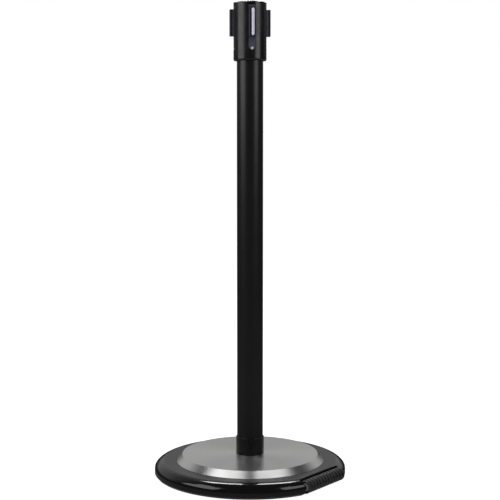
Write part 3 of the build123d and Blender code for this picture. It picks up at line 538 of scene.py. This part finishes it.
# %% [markdown]
# Giving the parts their finishes
#
# Each part of the frame names the finish that it wants, in its material slot. Going through
# the slots leaves every part with one of the finishes above. The roller's bracket, axle and
# screws are zinc plated and then blackened, so they take the satin black after that.

# %% Finishes on the frame
for node in nodes.values():
    for material_slot in node.material_slots:
        material_slot.material = FINISHES[material_slot.name].material
for name in ("roller_bracket", "roller_axle", "bracket_screws"):
    nodes[name].material_slots[0].material = FINISHES["collar_black"].material
print(len(FINISHES), "finishes on", len(nodes), "parts")


# %% [markdown]
# Surfaces from formulas
#
# A surface is a grid: one parameter runs along its rows and another along its columns, and a
# formula gives each point. Numpy works out the whole grid at once. Where a row shrinks to a
# point its copies are merged, which closes the pole, and a wrapped direction joins its last
# row to its first, so nothing is left open.

# %% Grids to meshes
def surface(name, points, slot, wrap_rows=False, wrap_columns=True, sharp=40):
    """A mesh through a grid of points (rows, columns, xyz), with doubles merged, faces turned
    outwards and edges sharper than this many degrees kept crisp."""
    rows, columns = points.shape[:2]
    index = np.arange(rows * columns).reshape(rows, columns)
    if wrap_rows:
        index = np.vstack([index, index[:1]])
    if wrap_columns:
        index = np.hstack([index, index[:, :1]])
    quads = np.stack([index[:-1, :-1], index[1:, :-1], index[1:, 1:], index[:-1, 1:]], -1)
    mesh = bpy.data.meshes.new(name)
    mesh.from_pydata(points.reshape(-1, 3).tolist(), [], quads.reshape(-1, 4).tolist())
    build = bmesh.new()
    build.from_mesh(mesh)
    bmesh.ops.remove_doubles(build, verts=build.verts, dist=1e-7)
    bmesh.ops.recalc_face_normals(build, faces=build.faces)
    build.to_mesh(mesh)
    build.free()
    mesh.shade_smooth()
    mesh.set_sharp_from_angle(angle=radians(sharp))
    mesh.materials.append(FINISHES[slot].material)
    piece = bpy.data.objects.new(name, mesh)
    bpy.context.scene.collection.objects.link(piece)
    print(name, len(mesh.vertices), "vertices,", len(mesh.polygons), "faces")
    return piece


def capped(rows):
    """The same rows with one more at each end, drawn in to the end row's middle."""
    first, last = (np.broadcast_to(row.mean(0), row.shape) for row in (rows[0], rows[-1]))
    return np.concatenate([first[None], rows, last[None]])


def axes_of(z_axis, x_axis):
    """Three unit directions as rows: x, y and z."""
    z_axis = np.array(z_axis, float)
    x_axis = np.array(x_axis, float)
    return np.stack([x_axis, np.cross(z_axis, x_axis), z_axis])


print("grid helpers ready")


# %% [markdown]
# The roller's tread
#
# The tread is a rubber sleeve with round ribs, which grip the floor when the post is tilted
# on to it. It could be turned from a profile with a modifier, but a formula says it in one
# line: the radius is the bottom of the grooves plus a round hump over each rib. The mould's
# parting line is a hair-thin ridge along both sides.

# %% Ribbed tread
rib_count = 13
rib_width, rib_height = 6.6 * mm, 2.2 * mm
rib_roundness = 2.3  # 2 is a half ellipse, more is squarer
rib_steps, tread_sides = 15, 120
parting_height, parting_width = 0.12 * mm, 0.02  # metres, radians
roller_centre = np.array(joints["roller_spin"]["pos_m"])
axle = np.array(joints["roller_spin"]["axis"])


def reach(node, centre, axis):
    """How far a part reaches along an axis and out from it, in metres."""
    mesh = nodes[node].data
    at = np.empty(len(mesh.vertices) * 3)
    mesh.vertices.foreach_get("co", at)
    at = at.reshape(-1, 3) - centre
    along = at @ axis
    out = np.linalg.norm(at - along[:, None] * axis, axis=1)
    return np.abs(along).max(), out.min(), out.max()


def ribbed_tread():
    """Rows along the axle, columns round it. The outside's radius is the groove's radius plus
    rib_height * (1 - |x| ** roundness) ** (1 / roundness), where x runs from -1 to 1 over the
    nearest rib, and the inside is a plain bore."""
    half, bore, outer = reach("roller_sleeve", roller_centre, axle)
    pitch = (2 * half - rib_width) / (rib_count - 1)
    on_rib = np.sin(np.linspace(-pi / 2, pi / 2, rib_steps))
    middles = -half + rib_width / 2 + pitch * np.arange(rib_count)
    along = (middles[:, None] + on_rib * rib_width / 2).ravel()
    hump = (1 - np.abs(on_rib) ** rib_roundness) ** (1 / rib_roundness)
    radius = np.tile(outer - rib_height * (1 - hump), rib_count)
    along = np.concatenate([along, along[::1 - rib_steps]])
    radius = np.concatenate([radius, np.full(len(along) - len(radius), bore)])
    turn = np.arange(0, tau, tau / tread_sides)
    near_parting = np.abs((turn + pi / 2) % pi - pi / 2)
    ridge = parting_height * np.exp(-((near_parting / parting_width) ** 2))
    outside = (radius > bore)[:, None]
    out = radius[:, None] + ridge * outside - parting_height * outside
    side, up = np.cross((0, 0, 1), axle), np.array((0, 0, 1.0))
    round_about = np.cos(turn)[:, None] * side + np.sin(turn)[:, None] * up
    return roller_centre + along[:, None, None] * axle + out[..., None] * round_about


tread = surface("roller_tread", ribbed_tread(), "roller_rubber", wrap_rows=True)
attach(tread, "roller")
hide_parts("roller_sleeve")

# %% [markdown]
# The belt's path
#
# Seen from above, the belt leaves the roll on a tangent, bends round one of two guide pins,
# runs straight out through the mouth and goes round the belt end's pin, where it is sewn to
# itself. Straight runs and arcs that share their tangents are enough, and every radius comes
# from the parts that the belt touches.

# %% Belt path
belt_t = 0.5 * mm
gap = 0.3 * mm
roll_low, roll_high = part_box("belt_roll")
belt_low, belt_high = roll_low[2], roll_high[2]
roll_r = roll_high[0]
pins_low, pins_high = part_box("guide_pins")
guide_pin_r = (pins_high[1] - pins_low[1]) / 2
guide_x, guide_y = pins_high[0] - guide_pin_r, (pins_high[1] + pins_low[1]) / 2
pin_low, pin_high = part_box("belt_end_pin")
loop_play = 0.05 * mm
loop_r = (pin_high[0] - pin_low[0]) / 2 + belt_t / 2 + loop_play
loop_y = (pin_high[1] + pin_low[1]) / 2
loop_overlap = radians(48)  # that the loop goes on past its half turn
shift_length = 2.4 * loop_r  # over which the belt moves aside to meet the loop
bend_steps, run_steps, shift_steps, loop_steps = 12, 60, 12, 40


def arc(centre, radius, start, end, count):
    """Points about a centre from one angle to another, both in radians."""
    turn = np.linspace(start, end, count)
    return np.stack([centre[0] + radius * np.cos(turn), centre[1] + radius * np.sin(turn)], 1)


def belt_path():
    """The belt's middle line seen from above: lead, bend, run and loop."""
    lead_r = roll_r + gap + belt_t / 2
    lead_turn = atan2(guide_y, guide_x) + acos((lead_r + guide_x) / hypot(guide_x, guide_y))
    lead = arc((0, 0), lead_r, lead_turn, lead_turn, 1)
    bend = arc((guide_x, guide_y), guide_x, lead_turn + pi, pi, bend_steps)
    shift_y = loop_y + shift_length
    run_y = np.linspace(bend[-1, 1], shift_y, run_steps)[1:]
    run = np.stack([np.zeros(run_steps - 1), run_y], 1)
    way = np.linspace(0, 1, shift_steps)[1:]
    shift = np.stack([-loop_r * way * way * (3 - 2 * way), shift_y + way * (loop_y - shift_y)], 1)
    loop = arc((0, loop_y), loop_r, pi, tau + loop_overlap, loop_steps)[1:]
    return np.concatenate([lead, bend, run, shift, loop])


path = belt_path()
belt_steps = np.linalg.norm(np.diff(path, axis=0), axis=1)
print("belt in the open:", round(belt_steps.sum() * 1000, 1), "mm of it at rest")


# %% [markdown]
# The belt's strip
#
# A strip is a section carried along the path. The section is a long thin rectangle with
# woven edges, which are a little thicker and round.

# %% Woven strip
selvedge_in, selvedge_width = 1.2 * mm, 0.8 * mm  # from the belt's edge to its thick yarns, and their reach
selvedge_swell = 0.25  # as a share of the belt's thickness
edge_squareness = 60
section_steps = 41


def webbing_section():
    """Columns round the belt's section: how far out of the middle line, and the height. The
    half thickness is that of a flat strip, swells at the selvedges and closes round."""
    half_height = (belt_high - belt_low) / 2
    up = np.sin(np.linspace(-pi / 2, pi / 2, section_steps))
    from_edge = (1 - np.abs(up)) * half_height
    swell = 1 + selvedge_swell * np.exp(-((from_edge - selvedge_in) / selvedge_width) ** 2)
    closing = np.sqrt(1 - np.abs(up) ** edge_squareness)
    thick = belt_t / 2 / (1 + selvedge_swell) * swell * closing
    up = up * half_height + (belt_high + belt_low) / 2
    return np.concatenate([thick, -thick[-2:0:-1]]), np.concatenate([up, up[-2:0:-1]])


def carried(path, out, up):
    """The section (out, up) at each point of a level path, square to it."""
    heading = np.gradient(path, axis=0)
    heading /= np.linalg.norm(heading, axis=1)[:, None]
    across = np.stack([-heading[:, 1], heading[:, 0]], 1)
    level = path[:, None] + out[:, None] * across[:, None]
    return np.concatenate([level, np.broadcast_to(up, level.shape[:2])[..., None]], 2)


out, up = webbing_section()
strip = surface("belt_strip", capped(carried(path, out, up)), "belt_webbing")
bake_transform(strip)
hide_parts("belt_web")


# %% [markdown]
# The belt on its spool
#
# The rest of the belt is wound on the spool. The same section follows a spiral whose radius
# grows by one thickness of belt in each turn, so the winding has the belt's real length.

# %% Wound belt
steps_a_turn = 72


def winding():
    """A spiral from the spool's core to the outside of the roll."""
    core_r = reach("belt_roll", np.zeros(3), np.array((0, 0, 1.0)))[1]
    turns = (roll_r - core_r) / belt_t
    turn = np.linspace(0, turns - 1, round(steps_a_turn * (turns - 1))) * tau
    radius = core_r + belt_t / 2 + belt_t * turn / tau
    return np.stack([radius * np.cos(turn), radius * np.sin(turn)], 1)


spiral = winding()
coarse = slice(None, None, 4)
wound = surface("belt_winding", capped(carried(spiral, out[coarse], up[coarse])), "belt_webbing")
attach(wound, "spool")
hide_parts("belt_roll")
wound_length = np.linalg.norm(np.diff(spiral, axis=0), axis=1).sum()
print("belt on the spool:", round(wound_length, 3), "m")


# %% [markdown]
# Screws
#
# A pan-head screw stands at the foot of each channel. Its shape is a profile turned about
# its own axis, with a cross recess pressed into the head, so the height of the head is a
# function of the place on it: the dome less the cross. No two screws are ever driven to the
# same angle, so each has a turn of its own.

# %% Cross-recessed screws
shank_r, shank_l = 1.2 * mm, 7.5 * mm
cross_reach, cross_width, cross_slope = 0.62, 0.17, 0.06  # as shares of the head's radius
cross_depth = 0.55 * mm
screw_sides = 96
screw_turns = {"front": 12, "right": 51, "back": 33, "left": 74}  # degrees that each was driven to


def pan_screw(head_r, head_h):
    """Rows out over the head's dome, down its side and along the shank, columns round it. The
    recess is a plus: deep where the smaller of |x| and |y| is under its width and the larger
    under its reach, with sloping sides."""
    out = np.concatenate([np.linspace(0, 0.93, 22), [0.98, 1.0, 1.0]])
    dome = head_h * (1 - 0.35 * out ** 4)
    dome[-2:] = head_h * 0.5, 0
    turn = np.arange(0, tau, tau / screw_sides)
    x, y = np.cos(turn) * out[:, None], np.sin(turn) * out[:, None]
    narrow, far = np.minimum(np.abs(x), np.abs(y)), np.maximum(np.abs(x), np.abs(y))
    inside = np.clip((cross_width - narrow) / cross_slope, 0, 1)
    recess = inside * np.clip((cross_reach - far) / cross_slope, 0, 1)
    deep = cross_depth * recess * (1 - 0.5 * far)
    high = dome[:, None] - np.minimum(deep, 0.8 * head_h)
    shank_out = np.array([shank_r, shank_r, 0.5 * shank_r, 0])
    shank_high = np.array([0, -shank_l + shank_r, -shank_l, -shank_l])
    out = np.concatenate([out * head_r, shank_out])[:, None]
    high = np.concatenate([high, np.broadcast_to(shank_high[:, None], (4, len(turn)))])
    return np.stack([out * np.cos(turn), out * np.sin(turn), high], -1)


screws_low, screws_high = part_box("channel_screws")
screw_z = (screws_low[2] + screws_high[2]) / 2
screw_r = (screws_high[2] - screws_low[2]) / 2
screw_front = screws_high[0]
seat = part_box("channel_insert_right")[1][0]
for quarter, (name, driven) in enumerate(screw_turns.items()):
    turn = quarter * pi / 2
    outward = np.array((sin(turn), -cos(turn), 0))
    across = np.array((cos(turn), sin(turn), 0))
    up_way = np.array((0, 0, 1.0))
    x_axis = cos(radians(driven)) * across + sin(radians(driven)) * up_way
    place = seat * outward + screw_z * up_way
    grid = place + pan_screw(screw_r, screw_front - seat) @ axes_of(outward, x_axis)
    screw = surface(f"channel_screw_{name}", grid, "zinc_steel", sharp=30)
    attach(screw, "stand")
    if name == "front":
        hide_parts("channel_screws")
